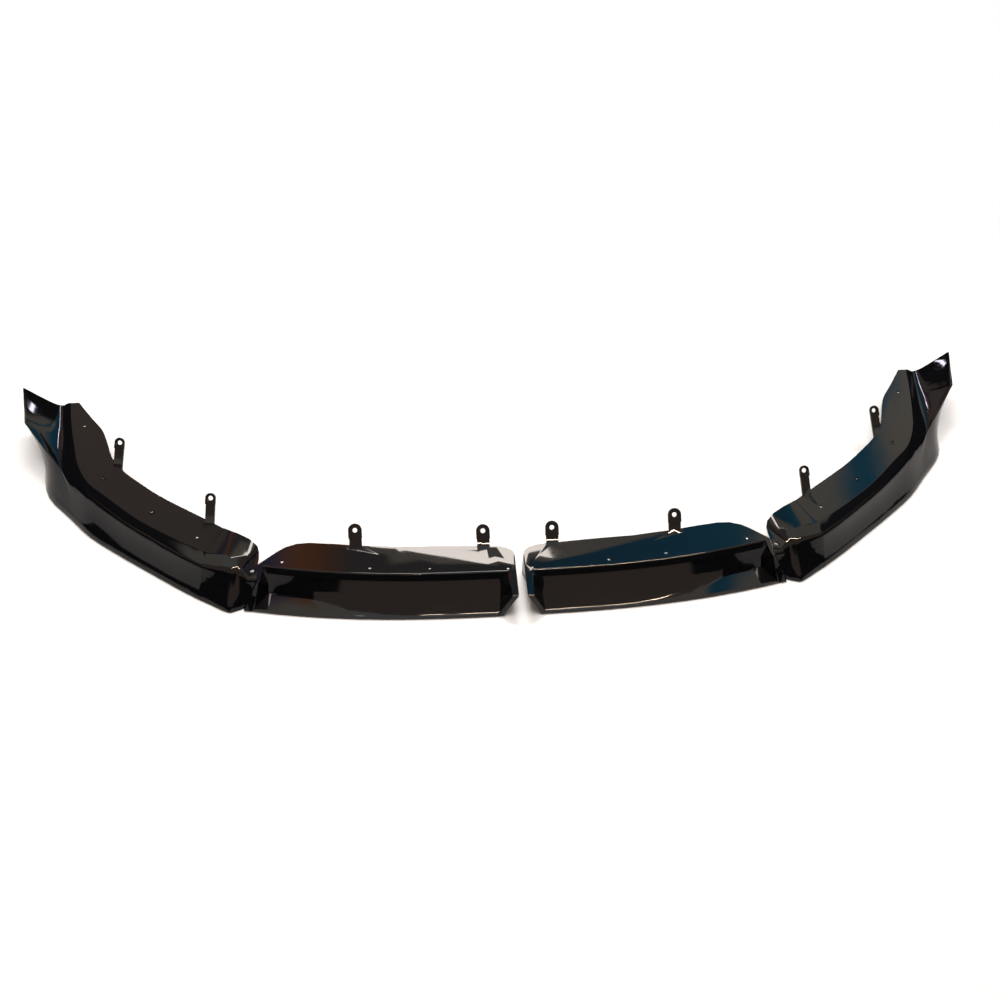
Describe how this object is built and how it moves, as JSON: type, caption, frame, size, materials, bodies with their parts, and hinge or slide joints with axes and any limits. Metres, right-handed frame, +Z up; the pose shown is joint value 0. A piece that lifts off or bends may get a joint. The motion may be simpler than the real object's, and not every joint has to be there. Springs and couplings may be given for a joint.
{
  "type": "front splitter lip",
  "caption": "Gloss black front bumper splitter lip in separate mouldings, with scooped centre sections, swept corners with upturned rear fins, screw holes and raised lugs.",
  "frame": {"origin": "centre of the bounding box on the plane of the bottom edge", "axes": "+X to the right seen from in front, +Y towards the car, +Z up"},
  "size_m": [1.978, 0.55, 0.118],
  "materials": {
    "gloss_black_plastic": "high gloss moulded ABS"
  },
  "bodies": {
    "root": {"left_corner": "gloss_black_plastic", "left_centre": "gloss_black_plastic", "right_centre": "gloss_black_plastic", "right_corner": "gloss_black_plastic"}
  },
  "joints": []
}
